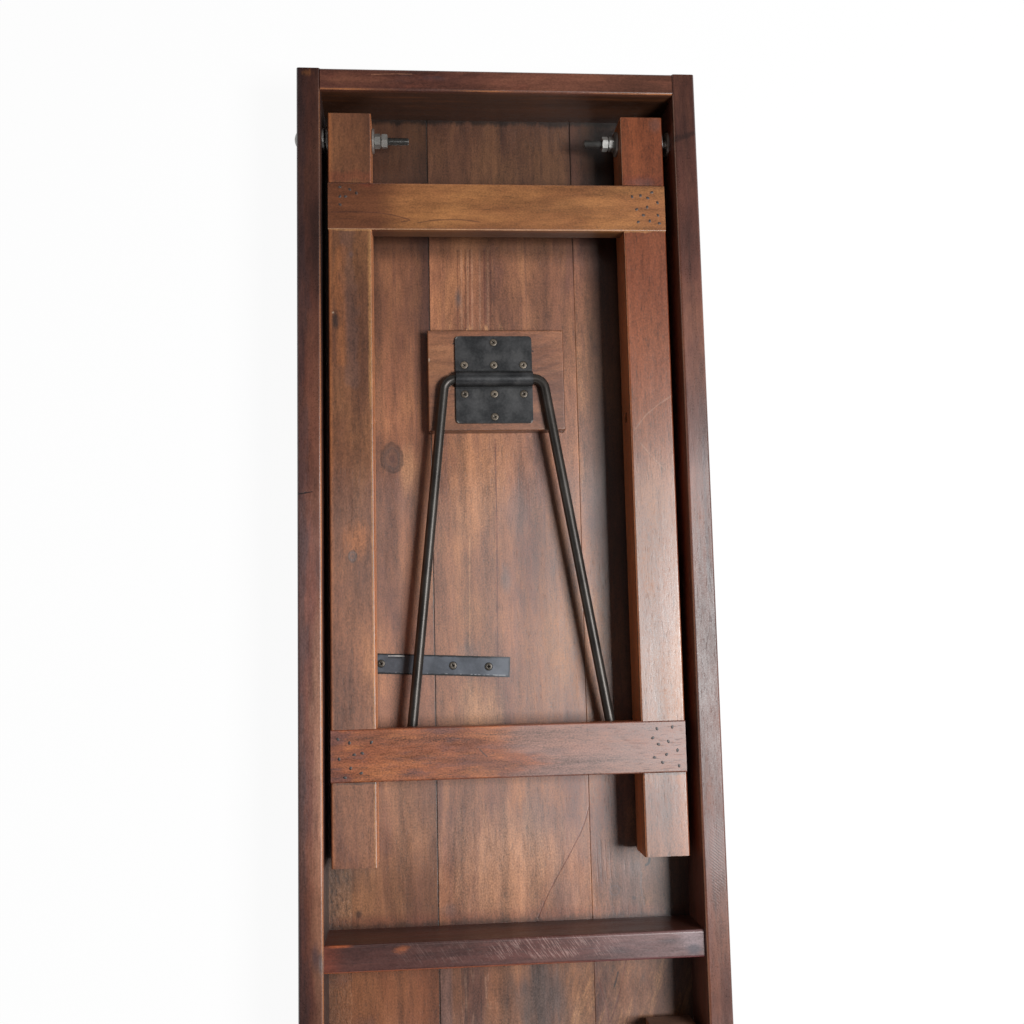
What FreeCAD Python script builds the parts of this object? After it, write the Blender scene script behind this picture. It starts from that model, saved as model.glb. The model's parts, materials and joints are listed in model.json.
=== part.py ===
import FreeCAD, Part
import math
import os
import re
import Sketcher

# Folding console table, folded flat and lying on its top.
# X runs across the table, Y along it and Z up from the face of the top, which is at the origin.
# Half a is the half at +Y. Half b is half a turned half round the upright axis.

doc = FreeCAD.newDocument("FoldingConsoleTable")
sheet = doc.addObject("Spreadsheet::Sheet", "Dimensions")

# Driving dimensions, in millimetres and degrees
DIMENSIONS = {
    # Top and tray
    "top_length": 1710,
    "top_width": 400,
    "top_thickness": 20,
    "middle_board_width": 151,
    "middle_board_offset": 4.5,
    "board_joint": 0.1,
    "board_ease": 1.5,
    "joint_ease": 0.6,
    "apron_height": 66,
    "apron_thickness": 23,
    "end_apron_thickness": 22,
    "bearer_height": 61,
    "bearer_thickness": 25,
    "rim_round": 2.5,
    "frame_nail_diameter": 3,
    "frame_nail_length": 60,
    "frame_nail_edge": 15,
    # Leg frame, with its pivot set in from the table's end and its feet back from the table's middle
    "pivot_inset": 60.5,
    "pivot_height": 32.5,
    "rail_width": 43,
    "rail_depth": 45,
    "rail_head": 19,
    "foot_setback": 79.5,
    "rail_round": 2,
    "narrow_gap": 6.5,
    "wide_gap": 9.5,
    "upper_rail_offset": 53,
    "upper_rail_width": 48,
    "lower_rail_rise": 78,
    "lower_rail_width": 49,
    "cross_rail_thickness": 20,
    "cross_rail_round": 1.5,
    "lap_nail_diameter": 2.6,
    "lap_nail_length": 38,
    # Pivot bolt, washers and nuts
    "bolt_diameter": 8,
    "bolt_length": 110,
    "bolt_head_diameter": 20,
    "bolt_head_height": 5,
    "bolt_tip": 1,
    "bolt_neck_width": 8.5,
    "bolt_neck_length": 4.5,
    "bolt_hole_fit": 0.2,
    "pivot_fit": 0.1,
    "thread_fit": 0.05,
    "washer_diameter": 25,
    "washer_thickness": 2,
    "nut_width": 13,
    "nut_height": 6.5,
    "nut_spacing": 0.5,
    "side_play": 0.5,
    # Stay with its block and strap, measured from the axis of its middle bar
    "stay_setback": 244.4,
    "stay_reach": 386,
    "stay_diameter": 10,
    "stay_bend": 12,
    "stay_fit": 0.1,
    "narrow_spigot": 17.4,
    "wide_spigot": 6.3,
    "bend_margin": 0.5,
    "spigot_play": 0.8,
    "spigot_hole_depth": 15,
    "spigot_hole_fit": 0.5,
    "block_length": 139,
    "block_width": 104,
    "block_thickness": 16,
    "block_offset": -4.5,
    "block_round": 1.5,
    "strap_length": 78,
    "strap_width": 90,
    "strap_thickness": 2.5,
    "strap_offset": -7,
    "strap_corner": 4,
    "strap_screw_inset": 9,
    "strap_screw_margin": 6.5,
    "strap_screw_gap": 7.4,
    "strap_screw_length": 30,
    # Mending strip
    "strip_gap_a": 31,
    "strip_gap_b": 22,
    "strip_width": 20,
    "strip_thickness": 2.5,
    "strip_place": 264,
    "strip_skew": -2.9,
    "strip_screw_margin": 21.5,
    "strip_screw_length": 16,
    # Countersunk wood screws
    "screw_diameter": 4,
    "screw_head_diameter": 8,
    "screw_hole_fit": 0.2,
}
# Nails of each lap, by cross-rail and by side of the leg frame, driven by hand with no pattern.
# Each nail's place is given in parts of half the lap, across it and along it from the lap's middle.
LAP_NAILS = {
    ("upper", "narrow"): ((-0.45, 0.8), (0, 0.7), (0.3, 0.55), (-0.45, 0.4), (-0.2, 0.4), (-0.45, 0.05)),
    ("upper", "wide"): ((-0.55, 0.5), (-0.15, 0.55), (0.4, 0.7), (0.2, 0.45), (0.65, 0.25), (0.15, 0.05),
                        (-0.35, -0.05), (-0.05, -0.3), (0.65, -0.3), (0.25, -0.55), (-0.3, -0.6),
                        (0.7, -0.65)),
    ("lower", "narrow"): ((-0.7, 0.65), (-0.2, 0.5), (0.75, 0.5), (0, 0.05), (0.35, 0.1), (-0.65, -0.1),
                          (-0.15, -0.45), (0.3, -0.65), (-0.4, -0.8)),
    ("lower", "wide"): ((-0.3, 0.7), (0.4, 0.75), (-0.5, 0.35), (-0.25, 0.1), (0.2, 0.2), (0.6, -0.15),
                        (0.1, -0.3), (-0.45, -0.4), (-0.1, -0.6), (0.65, -0.75)),
}
for row, (alias, size) in enumerate(DIMENSIONS.items(), start=1):
    sheet.set("A%d" % row, alias)
    sheet.set("B%d" % row, str(size))
    sheet.setAlias("B%d" % row, alias)
doc.recompute()

# Places worked out from the driving dimensions
INNER_HALF = "(top_width / 2 - apron_thickness)"
LEFT_SEAM = "(middle_board_offset - middle_board_width / 2)"
RIGHT_SEAM = "(middle_board_offset + middle_board_width / 2)"
STRIP_SEAM = {"a": LEFT_SEAM, "b": "(-%s)" % RIGHT_SEAM}
PIVOT_Y = "(top_length / 2 - pivot_inset)"
PIVOT_Z = "(top_thickness + pivot_height)"
RAIL_OUTER = {"narrow": "(narrow_gap - %s)" % INNER_HALF, "wide": "(%s - wide_gap)" % INNER_HALF}
RAIL_INNER = {"narrow": "(%s + rail_width)" % RAIL_OUTER["narrow"],
              "wide": "(%s - rail_width)" % RAIL_OUTER["wide"]}
RAIL_FOOT = "(%s - foot_setback)" % PIVOT_Y
RAIL_START = {"upper": "upper_rail_offset",
              "lower": "(%s - lower_rail_rise - lower_rail_width)" % RAIL_FOOT}
LAP_FLOOR = "(rail_depth / 2 - cross_rail_thickness)"
STAY_Y = "(%s - stay_setback)" % PIVOT_Y
STAY_SEAT = "(stay_diameter / 2 + stay_fit)"
STAY_Z = "(top_thickness + block_thickness + %s)" % STAY_SEAT
SPIGOT_HEIGHT = "(sqrt(stay_reach ^ 2 - stay_setback ^ 2) - %s + %s)" % (PIVOT_Z, STAY_Z)
SCREW_HEAD_HEIGHT = "(screw_head_diameter / 2 - screw_diameter / 2)"
# Sides of the leg frame as they lie in each half of the table
SIDES = {"a": {"narrow": "left", "wide": "right"}, "b": {"narrow": "right", "wide": "left"}}
X_AXIS = FreeCAD.Vector(1, 0, 0)
Y_AXIS = FreeCAD.Vector(0, 1, 0)
Z_AXIS = FreeCAD.Vector(0, 0, 1)
ALONG_X = FreeCAD.Rotation(Y_AXIS, 90)

nodes = []


def cells(text):
    """Point each size named in an expression at its cell."""
    return re.sub(r"[a-z]+(_[a-z]+)+", lambda found: "Dimensions." + found.group(0), text)


def amount(text):
    """Work out an expression as a plain number."""
    result = sheet.evalExpression(cells(text))
    return float(getattr(result, "Value", result))


def bind(item, name, text):
    """Hold a property at an expression of the driving dimensions."""
    item.setExpression(name, cells(text))


def node(item, label):
    """Name a finished sub-part."""
    item.Label = label
    nodes.append(item)
    return item


def place(item, half="a", x="0", y="0", z="0", turn=0):
    """Set a piece of half a, or its counterpart turned half round in half b."""
    sign = "1" if half == "a" else "-1"
    angle = turn if half == "a" else turn + 180
    item.Placement = FreeCAD.Placement(FreeCAD.Vector(), FreeCAD.Rotation(Z_AXIS, angle))
    bind(item, "Placement.Base.x", "%s * %s" % (sign, x))
    bind(item, "Placement.Base.y", "%s * %s" % (sign, y))
    bind(item, "Placement.Base.z", z)
    return item


def new_body(label):
    """Start a body that becomes a sub-part."""
    return node(doc.addObject("PartDesign::Body", label), label)


def new_sketch(body, name, role, lift=None):
    """Start a sketch on one of the body's own planes, lifted along the plane's normal."""
    sketch = body.newObject("Sketcher::SketchObject", name)
    plane = next(item for item in body.Origin.OriginFeatures if item.Role == role)
    sketch.AttachmentSupport = (plane, [""])
    sketch.MapMode = "FlatFace"
    if lift:
        bind(sketch, "AttachmentOffset.Base.z", lift)
    return sketch


def hold(sketch, kind, geometry, point, text):
    """Hold one coordinate of a sketch point at an expression."""
    if text == "0":
        axis = -2 if kind == "DistanceX" else -1
        sketch.addConstraint(Sketcher.Constraint("PointOnObject", geometry, point, axis))
        return
    index = sketch.addConstraint(Sketcher.Constraint(kind, -1, 1, geometry, point, amount(text)))
    bind(sketch, "Constraints[%d]" % index, text)


def outline(sketch, corners, crowns=()):
    """Draw a closed outline through corners, with arcs centred on the X axis on the sides named as crowns."""
    places = [FreeCAD.Vector(amount(x), amount(y), 0) for x, y in corners]
    first = sketch.GeometryCount
    ends = []
    for step, start in enumerate(places):
        end = places[(step + 1) % len(places)]
        if step in crowns:
            middle = FreeCAD.Vector((end.dot(end) - start.dot(start)) / (2 * (end.x - start.x)), 0, 0)
            angles = [math.atan2(corner.y, corner.x - middle.x) for corner in (start, end)]
            full = Part.Circle(middle, Z_AXIS, start.distanceToPoint(middle))
            sketch.addGeometry(Part.ArcOfCircle(full, min(angles), max(angles)))
            sketch.addConstraint(Sketcher.Constraint("PointOnObject", first + step, 3, -1))
            ends.append((1, 2) if angles[0] < angles[1] else (2, 1))
        else:
            sketch.addGeometry(Part.LineSegment(start, end))
            ends.append((1, 2))
    for step, (x, y) in enumerate(corners):
        follower = (step + 1) % len(corners)
        meeting = (first + step, ends[step][1], first + follower, ends[follower][0])
        sketch.addConstraint(Sketcher.Constraint("Coincident", *meeting))
        hold(sketch, "DistanceX", first + step, ends[step][0], x)
        hold(sketch, "DistanceY", first + step, ends[step][0], y)


def rectangle(sketch, left, right, bottom, top):
    """Draw a rectangle between four expressions."""
    outline(sketch, [(left, bottom), (right, bottom), (right, top), (left, top)])


def circle(sketch, x, y, radius):
    """Draw a circle at an expression's place and radius."""
    centre = FreeCAD.Vector(amount(x), amount(y), 0)
    index = sketch.addGeometry(Part.Circle(centre, Z_AXIS, amount(radius)))
    hold(sketch, "DistanceX", index, 3, x)
    hold(sketch, "DistanceY", index, 3, y)
    number = sketch.addConstraint(Sketcher.Constraint("Radius", index, amount(radius)))
    bind(sketch, "Constraints[%d]" % number, radius)


def pad(body, sketch, length, symmetric=False):
    """Raise a sketch into a solid."""
    feature = body.newObject("PartDesign::Pad", sketch.Name + "Pad")
    feature.Profile = sketch
    feature.SideType = "Symmetric" if symmetric else "One side"
    bind(feature, "Length", length)
    doc.recompute()
    return feature


def pocket(body, sketch, depth=None, symmetric=False, forward=False):
    """Cut a sketch into the solid, right through unless a depth is given."""
    before = body.Shape.Volume
    feature = body.newObject("PartDesign::Pocket", sketch.Name + "Cut")
    feature.Profile = sketch
    feature.SideType = "Symmetric" if symmetric else "One side"
    feature.Reversed = forward
    if depth:
        bind(feature, "Length", depth)
    else:
        feature.Type = "ThroughAll"
    doc.recompute()
    if not body.Shape.Volume < before:
        raise RuntimeError("%s cuts nothing" % feature.Name)
    return feature


def countersinks(body, sketch):
    """Bore screw holes with seats for flat heads at a sketch's circles."""
    hole = body.newObject("PartDesign::Hole", sketch.Name + "Holes")
    hole.Profile = sketch
    hole.DepthType = "ThroughAll"
    hole.ThreadType = "None"
    hole.HoleCutType = "Countersink"
    hole.HoleCutCustomValues = True
    hole.HoleCutCountersinkAngle = 90
    bind(hole, "Diameter", "screw_diameter + 2 * screw_hole_fit")
    bind(hole, "HoleCutDiameter", "screw_head_diameter + 2 * screw_hole_fit")
    doc.recompute()


def round_edges(body, radius, wanted):
    """Round the edges of the solid that a test picks out."""
    base = body.Tip
    edges = enumerate(base.Shape.Edges, start=1)
    names = ["Edge%d" % number for number, edge in edges if wanted(edge, base.Shape)]
    feature = body.newObject("PartDesign::Fillet", body.Name + "Round")
    feature.Base = (base, names)
    bind(feature, "Radius", radius)
    doc.recompute()


def runs_along(edge, axis):
    """Tell whether a straight edge runs along an axis."""
    if edge.Curve.TypeId != "Part::GeomLine":
        return False
    return abs(abs(edge.tangentAt(edge.FirstParameter).dot(axis)) - 1) < 1e-6


def at_top(edge, shape):
    """Tell whether an edge lies in the top plane of a shape."""
    return abs(edge.BoundBox.ZMin - shape.BoundBox.ZMax) < 1e-6


def at_bottom(edge, shape):
    """Tell whether an edge lies in the bottom plane of a shape."""
    return abs(edge.BoundBox.ZMax - shape.BoundBox.ZMin) < 1e-6


def cylinder(radius, height, x="0", y="0", z="0", rotation=FreeCAD.Rotation()):
    """Make a cylinder at an expression's place, upright unless it is turned."""
    item = doc.addObject("Part::Cylinder", "Cylinder")
    item.Placement = FreeCAD.Placement(FreeCAD.Vector(), rotation)
    bind(item, "Radius", radius)
    bind(item, "Height", height)
    bind(item, "Placement.Base.x", x)
    bind(item, "Placement.Base.y", y)
    bind(item, "Placement.Base.z", z)
    return item


def cut(base, tool):
    """Cut one solid with another."""
    item = doc.addObject("Part::Cut", "Cut")
    item.Base = base
    item.Tool = tool
    return item


def fuse(pieces):
    """Join pieces into one solid."""
    item = doc.addObject("Part::MultiFuse", "Fusion")
    item.Shapes = pieces
    return item


def group(label, pieces):
    """Collect separate solids of one kind in one sub-part."""
    item = doc.addObject("Part::Compound", label)
    item.Links = pieces
    return node(item, label)


# Top boards, full length, with eased arrises on the face of the top and along the joints underneath
def top_board(label, left, right):
    body = new_body(label)
    sketch = new_sketch(body, label + "_plan", "XY_Plane")
    rectangle(sketch, left, right, "-top_length / 2", "top_length / 2")
    pad(body, sketch, "top_thickness")
    round_edges(body, "board_ease", lambda edge, shape: runs_along(edge, Y_AXIS) and at_bottom(edge, shape))
    half_width = amount("top_width / 2")
    round_edges(body, "joint_ease", lambda edge, shape: runs_along(edge, Y_AXIS) and at_top(edge, shape)
                and abs(edge.CenterOfMass.x) < half_width - 1e-6)


top_board("top_board_left", "-top_width / 2", LEFT_SEAM + " - board_joint / 2")
top_board("top_board_middle", LEFT_SEAM + " + board_joint / 2", RIGHT_SEAM + " - board_joint / 2")
top_board("top_board_right", RIGHT_SEAM + " + board_joint / 2", "top_width / 2")


# Side aprons on the edges of the top, bored for the pivot bolts and their square necks
def side_apron(label, sign):
    body = new_body(label)
    faces = sorted(["%d * top_width / 2" % sign, "%d * %s" % (sign, INNER_HALF)], key=amount)
    sketch = new_sketch(body, label + "_plan", "XY_Plane", "top_thickness")
    rectangle(sketch, faces[0], faces[1], "-top_length / 2", "top_length / 2")
    pad(body, sketch, "apron_height")
    round_edges(body, "rim_round", lambda edge, shape: runs_along(edge, Y_AXIS) and at_top(edge, shape))
    bores = new_sketch(body, label + "_bores", "YZ_Plane")
    necks = new_sketch(body, label + "_necks", "YZ_Plane", "%d * top_width / 2" % sign)
    reach = "(bolt_neck_width / 2 + bolt_hole_fit)"
    for end in ("-1", "1"):
        middle = "%s * %s" % (end, PIVOT_Y)
        circle(bores, middle, PIVOT_Z, "bolt_diameter / 2 + bolt_hole_fit")
        rectangle(necks, middle + " - " + reach, middle + " + " + reach, PIVOT_Z + " - " + reach,
                  PIVOT_Z + " + " + reach)
    pocket(body, bores, symmetric=True)
    pocket(body, necks, depth="bolt_neck_length", forward=sign < 0)


side_apron("side_apron_left", -1)
side_apron("side_apron_right", 1)


# End aprons and the middle bearer, butted between the side aprons
def cross_member(label, half, outer, inner, height):
    body = place(new_body(label), half)
    sketch = new_sketch(body, label + "_plan", "XY_Plane", "top_thickness")
    rectangle(sketch, "-" + INNER_HALF, INNER_HALF, inner, outer)
    pad(body, sketch, height)
    round_edges(body, "rim_round", lambda edge, shape: runs_along(edge, X_AXIS) and at_top(edge, shape))


for half in SIDES:
    cross_member("end_apron_" + half, half, "top_length / 2", "top_length / 2 - end_apron_thickness",
                 "apron_height")
cross_member("centre_bearer", "a", "bearer_thickness / 2", "-bearer_thickness / 2", "bearer_height")

# Nails through the side aprons into the ends of the cross members
frame_nails = []
for sign in ("-1", "1"):
    start = "-top_width / 2" if sign == "-1" else "top_width / 2 - frame_nail_length"
    for y, height in (("-top_length / 2 + end_apron_thickness / 2", "apron_height"),
                      ("0", "bearer_height"),
                      ("top_length / 2 - end_apron_thickness / 2", "apron_height")):
        for rise in ("frame_nail_edge", height + " - frame_nail_edge"):
            frame_nails.append(cylinder("frame_nail_diameter / 2", "frame_nail_length", start, y,
                                        "top_thickness + " + rise, ALONG_X))
group("frame_nails", frame_nails)


# Leg rail: a square post with two notches, the pivot bore and a blind hole for the stay's spigot
def leg_rail(half, side):
    label = "leg_rail_%s_%s" % (half, SIDES[half][side])
    body = place(new_body(label), half, y=PIVOT_Y, z=PIVOT_Z)
    faces = sorted([RAIL_OUTER[side], RAIL_INNER[side]], key=amount)
    plan = new_sketch(body, label + "_plan", "XY_Plane")
    rectangle(plan, faces[0], faces[1], "-" + RAIL_FOOT, "rail_head")
    pad(body, plan, "rail_depth", symmetric=True)
    round_edges(body, "rail_round", lambda edge, shape: runs_along(edge, Y_AXIS))
    notches = new_sketch(body, label + "_notches", "XY_Plane", LAP_FLOOR)
    for name, start in RAIL_START.items():
        rectangle(notches, faces[0] + " - rail_width", faces[1] + " + rail_width",
                  "-%s - %s_rail_width" % (start, name), "-" + start)
    pocket(body, notches, forward=True)
    bore = new_sketch(body, label + "_bore", "YZ_Plane")
    circle(bore, "0", "0", "bolt_diameter / 2 + pivot_fit")
    pocket(body, bore, symmetric=True)
    spigot = new_sketch(body, label + "_spigot", "YZ_Plane", RAIL_INNER[side])
    circle(spigot, "-" + SPIGOT_HEIGHT, "0", "stay_diameter / 2 + spigot_hole_fit")
    pocket(body, spigot, depth="spigot_hole_depth", forward=side == "wide")


# Cross-rail let flush into both rails
def cross_rail(half, name):
    label = "cross_rail_%s_%s" % (half, name)
    body = place(new_body(label), half, y=PIVOT_Y, z=PIVOT_Z)
    start = RAIL_START[name]
    plan = new_sketch(body, label + "_plan", "XY_Plane", LAP_FLOOR)
    rectangle(plan, RAIL_OUTER["narrow"], RAIL_OUTER["wide"],
              "-%s - %s_rail_width" % (start, name), "-" + start)
    pad(body, plan, "cross_rail_thickness")
    round_edges(body, "cross_rail_round",
                lambda edge, shape: runs_along(edge, X_AXIS) and at_top(edge, shape))


# Nails of the laps, with their heads flush in the cross-rails
def lap_nails(half):
    nails = []
    for (name, side), places in LAP_NAILS.items():
        middle_x = "(%s + %s) / 2" % (RAIL_OUTER[side], RAIL_INNER[side])
        middle_y = "(-%s - %s_rail_width / 2)" % (RAIL_START[name], name)
        for across, along in places:
            nails.append(cylinder(
                "lap_nail_diameter / 2", "lap_nail_length",
                "%s + %g * rail_width / 2" % (middle_x, across),
                "%s + %g * %s_rail_width / 2" % (middle_y, along, name),
                "rail_depth / 2 - lap_nail_length"))
    place(group("lap_nails_" + half, nails), half, y=PIVOT_Y, z=PIVOT_Z)


# Pivot bolt with its washers and lock nuts, drawn from the apron's outer face inwards
def pivot(half, side):
    suffix = "%s_%s" % (half, SIDES[half][side])
    gap = side + "_gap"
    seat = {"x": "-top_width / 2" if side == "narrow" else "top_width / 2", "y": PIVOT_Y, "z": PIVOT_Z,
            "turn": 0 if side == "narrow" else 180}
    bolt = place(new_body("pivot_bolt_" + suffix), half, **seat)
    profile = new_sketch(bolt, "bolt_profile_" + suffix, "XY_Plane")
    outline(profile, [
        ("-bolt_head_height", "0"), ("0", "bolt_head_diameter / 2"), ("0", "bolt_diameter / 2"),
        ("bolt_length - bolt_tip", "bolt_diameter / 2"), ("bolt_length", "bolt_diameter / 2 - bolt_tip"),
        ("bolt_length", "0")], crowns=(0,))
    turned = bolt.newObject("PartDesign::Revolution", "bolt_turned_" + suffix)
    turned.Profile = profile
    turned.ReferenceAxis = (profile, ["H_Axis"])
    turned.Angle = 360
    neck = new_sketch(bolt, "bolt_neck_" + suffix, "YZ_Plane")
    side_half = "bolt_neck_width / 2"
    rectangle(neck, "-" + side_half, side_half, "-" + side_half, side_half)
    pad(bolt, neck, "bolt_neck_length")
    inside = "apron_thickness + %s + rail_width + side_play" % gap
    washers = []
    for start in ("apron_thickness", "apron_thickness + %s - side_play - washer_thickness" % gap, inside):
        disc = cylinder("washer_diameter / 2", "washer_thickness", start, rotation=ALONG_X)
        bore = cylinder("bolt_diameter / 2 + bolt_hole_fit", "washer_thickness", start, rotation=ALONG_X)
        washers.append(cut(disc, bore))
    place(group("pivot_washers_" + suffix, washers), half, **seat)
    nuts = []
    for number in range(2):
        start = inside + " + washer_thickness + %d * (nut_height + nut_spacing)" % number
        hexagon = doc.addObject("Part::Prism", "Hexagon")
        hexagon.Polygon = 6
        hexagon.Placement.Rotation = ALONG_X
        bind(hexagon, "Circumradius", "nut_width / sqrt(3)")
        bind(hexagon, "Height", "nut_height")
        bind(hexagon, "Placement.Base.x", start)
        bore = cylinder("bolt_diameter / 2 + thread_fit", "nut_height", start, rotation=ALONG_X)
        nuts.append(cut(hexagon, bore))
    place(group("lock_nuts_" + suffix, nuts), half, **seat)


# Flat-headed screw with its head's face at the given height
def screw(x, y, top, length):
    head = doc.addObject("Part::Cone", "ScrewHead")
    bind(head, "Radius1", "screw_diameter / 2")
    bind(head, "Radius2", "screw_head_diameter / 2")
    bind(head, "Height", SCREW_HEAD_HEIGHT)
    bind(head, "Placement.Base.x", x)
    bind(head, "Placement.Base.y", y)
    bind(head, "Placement.Base.z", "%s - %s" % (top, SCREW_HEAD_HEIGHT))
    shank = cylinder("screw_diameter / 2", length, x, y, "%s - %s" % (top, length))
    return fuse([head, shank])


# Stay block and its strap plate with the half-round hump over the stay's bar
def stay_seat(half):
    block = place(new_body("stay_block_" + half), half, y=STAY_Y, z=STAY_Z)
    plan = new_sketch(block, "block_plan_" + half, "XY_Plane", "-%s - block_thickness" % STAY_SEAT)
    rectangle(plan, "block_offset - block_length / 2", "block_offset + block_length / 2", "-block_width / 2",
              "block_width / 2")
    pad(block, plan, "block_thickness")
    round_edges(block, "block_round", at_top)

    strap = place(new_body("strap_plate_" + half), half, x="strap_offset", y=STAY_Y, z=STAY_Z)
    bottom = "-" + STAY_SEAT
    top = "strap_thickness - " + STAY_SEAT
    outer = "(%s + strap_thickness)" % STAY_SEAT
    section = new_sketch(strap, "strap_section_" + half, "YZ_Plane")
    outline(section, [
        ("-strap_width / 2", bottom), ("-" + STAY_SEAT, bottom), ("-" + STAY_SEAT, "0"), (STAY_SEAT, "0"),
        (STAY_SEAT, bottom), ("strap_width / 2", bottom), ("strap_width / 2", top), (outer, top),
        (outer, "0"), ("-" + outer, "0"), ("-" + outer, top), ("-strap_width / 2", top)], crowns=(2, 8))
    pad(strap, section, "strap_length", symmetric=True)
    half_width = amount("strap_width / 2")
    round_edges(strap, "strap_corner", lambda edge, shape: runs_along(edge, Z_AXIS)
                and abs(abs(edge.CenterOfMass.y) - half_width) < 1e-6)
    column = "(strap_length / 2 - strap_screw_inset)"
    spots = []
    for sign in ("", "-"):
        row = "%s(%s + strap_screw_gap)" % (sign, outer)
        spots.append(("0", sign + "(strap_width / 2 - strap_screw_margin)"))
        spots += [("-" + column, row), ("0", row), (column, row)]
    holes = new_sketch(strap, "strap_holes_" + half, "XY_Plane", top)
    for x, y in spots:
        circle(holes, x, y, "screw_diameter / 2")
    countersinks(strap, holes)
    screws = [screw(x, y, top, "strap_screw_length") for x, y in spots]
    place(group("strap_screws_" + half, screws), half, x="strap_offset", y=STAY_Y, z=STAY_Z)


# Stay: one rod bent into a splayed U, with its ends turned out towards the rails
def stay_rod(half):
    body = place(new_body("stay_rod_" + half), half, y=STAY_Y, z=STAY_Z)
    path = new_sketch(body, "stay_path_" + half, "XY_Plane")
    bar_end = {"narrow": "(strap_offset - strap_length / 2 - bend_margin)",
               "wide": "(strap_offset + strap_length / 2 + bend_margin)"}
    tip = {"narrow": "(%s + spigot_play)" % RAIL_INNER["narrow"],
           "wide": "(%s - spigot_play)" % RAIL_INNER["wide"]}
    start = {"narrow": "(%s + narrow_spigot)" % tip["narrow"], "wide": "(%s - wide_spigot)" % tip["wide"]}
    bend = amount("stay_bend")
    reach = amount("stay_reach")
    bar = path.addGeometry(Part.LineSegment(FreeCAD.Vector(amount(bar_end["narrow"]), 0, 0),
                                            FreeCAD.Vector(amount(bar_end["wide"]), 0, 0)))
    path.addConstraint(Sketcher.Constraint("PointOnObject", bar, 1, -1))
    path.addConstraint(Sketcher.Constraint("Horizontal", bar))
    for side, way, bar_point in (("narrow", -1, 1), ("wide", 1, 2)):
        upper_centre = FreeCAD.Vector(amount(bar_end[side]), -bend, 0)
        lower_centre = FreeCAD.Vector(amount(start[side]), bend - reach, 0)
        between = lower_centre - upper_centre
        lean = math.atan2(way * between.x, -between.y) - math.asin(2 * bend / between.Length)
        square = FreeCAD.Vector(way * bend * math.cos(lean), bend * math.sin(lean), 0)
        arm = path.addGeometry(Part.LineSegment(upper_centre + square, lower_centre - square))
        spigot = path.addGeometry(Part.LineSegment(FreeCAD.Vector(amount(start[side]), -reach, 0),
                                                   FreeCAD.Vector(amount(tip[side]), -reach, 0)))
        if way > 0:
            upper_angles = (lean, math.pi / 2)
            lower_angles = (math.pi + lean, 1.5 * math.pi)
        else:
            upper_angles = (math.pi / 2, math.pi - lean)
            lower_angles = (1.5 * math.pi, 2 * math.pi - lean)
        upper = path.addGeometry(Part.ArcOfCircle(Part.Circle(upper_centre, Z_AXIS, bend), *upper_angles))
        lower = path.addGeometry(Part.ArcOfCircle(Part.Circle(lower_centre, Z_AXIS, bend), *lower_angles))
        first, last = (2, 1) if way > 0 else (1, 2)
        path.addConstraint(Sketcher.Constraint("Tangent", bar, bar_point, upper, first))
        path.addConstraint(Sketcher.Constraint("Tangent", upper, last, arm, 1))
        path.addConstraint(Sketcher.Constraint("Tangent", arm, 2, lower, 1 if way > 0 else 2))
        path.addConstraint(Sketcher.Constraint("Tangent", lower, 2 if way > 0 else 1, spigot, 1))
        path.addConstraint(Sketcher.Constraint("Horizontal", spigot))
        hold(path, "DistanceX", bar, bar_point, bar_end[side])
        hold(path, "DistanceX", spigot, 1, start[side])
        hold(path, "DistanceX", spigot, 2, tip[side])
        hold(path, "DistanceY", spigot, 2, "-stay_reach")
        for arc in (upper, lower):
            number = path.addConstraint(Sketcher.Constraint("Radius", arc, bend))
            bind(path, "Constraints[%d]" % number, "stay_bend")
    doc.recompute()
    ring = new_sketch(body, "stay_ring_" + half, "YZ_Plane", tip["narrow"])
    circle(ring, "-stay_reach", "0", "stay_diameter / 2")
    pipe = body.newObject("PartDesign::AdditivePipe", "stay_pipe_" + half)
    pipe.Profile = ring
    pipe.Spine = path
    doc.recompute()


# Flat mending strip, set a little askew across a seam, with its screws evenly spaced
def mending_strip(half):
    seat = {"x": STRIP_SEAM[half], "y": "strip_place", "z": "top_thickness", "turn": amount("strip_skew")}
    end = "(%s + %s - strip_gap_%s)" % (INNER_HALF, STRIP_SEAM[half], half)
    strip = place(new_body("mending_strip_" + half), half, **seat)
    plan = new_sketch(strip, "strip_plan_" + half, "XY_Plane")
    rectangle(plan, "-" + end, end, "-strip_width / 2", "strip_width / 2")
    pad(strip, plan, "strip_thickness")
    outer = "(%s - strip_screw_margin)" % end
    spots = ["-" + outer, "-%s / 3" % outer, "%s / 3" % outer, outer]
    holes = new_sketch(strip, "strip_holes_" + half, "XY_Plane", "strip_thickness")
    for x in spots:
        circle(holes, x, "0", "screw_diameter / 2")
    countersinks(strip, holes)
    screws = [screw(x, "0", "strip_thickness", "strip_screw_length") for x in spots]
    place(group("strip_screws_" + half, screws), half, **seat)


for half in SIDES:
    for side in SIDES[half]:
        leg_rail(half, side)
        pivot(half, side)
    cross_rail(half, "upper")
    cross_rail(half, "lower")
    lap_nails(half)
    stay_seat(half)
    stay_rod(half)
    mending_strip(half)

doc.recompute()
failed = [item.Label for item in doc.Objects if "Invalid" in item.State or "Error" in item.State]
failed += [item.Label for item in nodes if item.Shape.isNull() or not item.Shape.isValid()]
if failed:
    raise RuntimeError("not built: " + ", ".join(failed))
os.makedirs("parts", exist_ok=True)
for item in nodes:
    item.Shape.exportStep("parts/%s.step" % item.Label)
print("%d nodes, %d solids" % (len(nodes), sum(len(item.Shape.Solids) for item in nodes)))
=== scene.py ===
import json
import math

import bpy
from mathutils import Matrix, Vector

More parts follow.
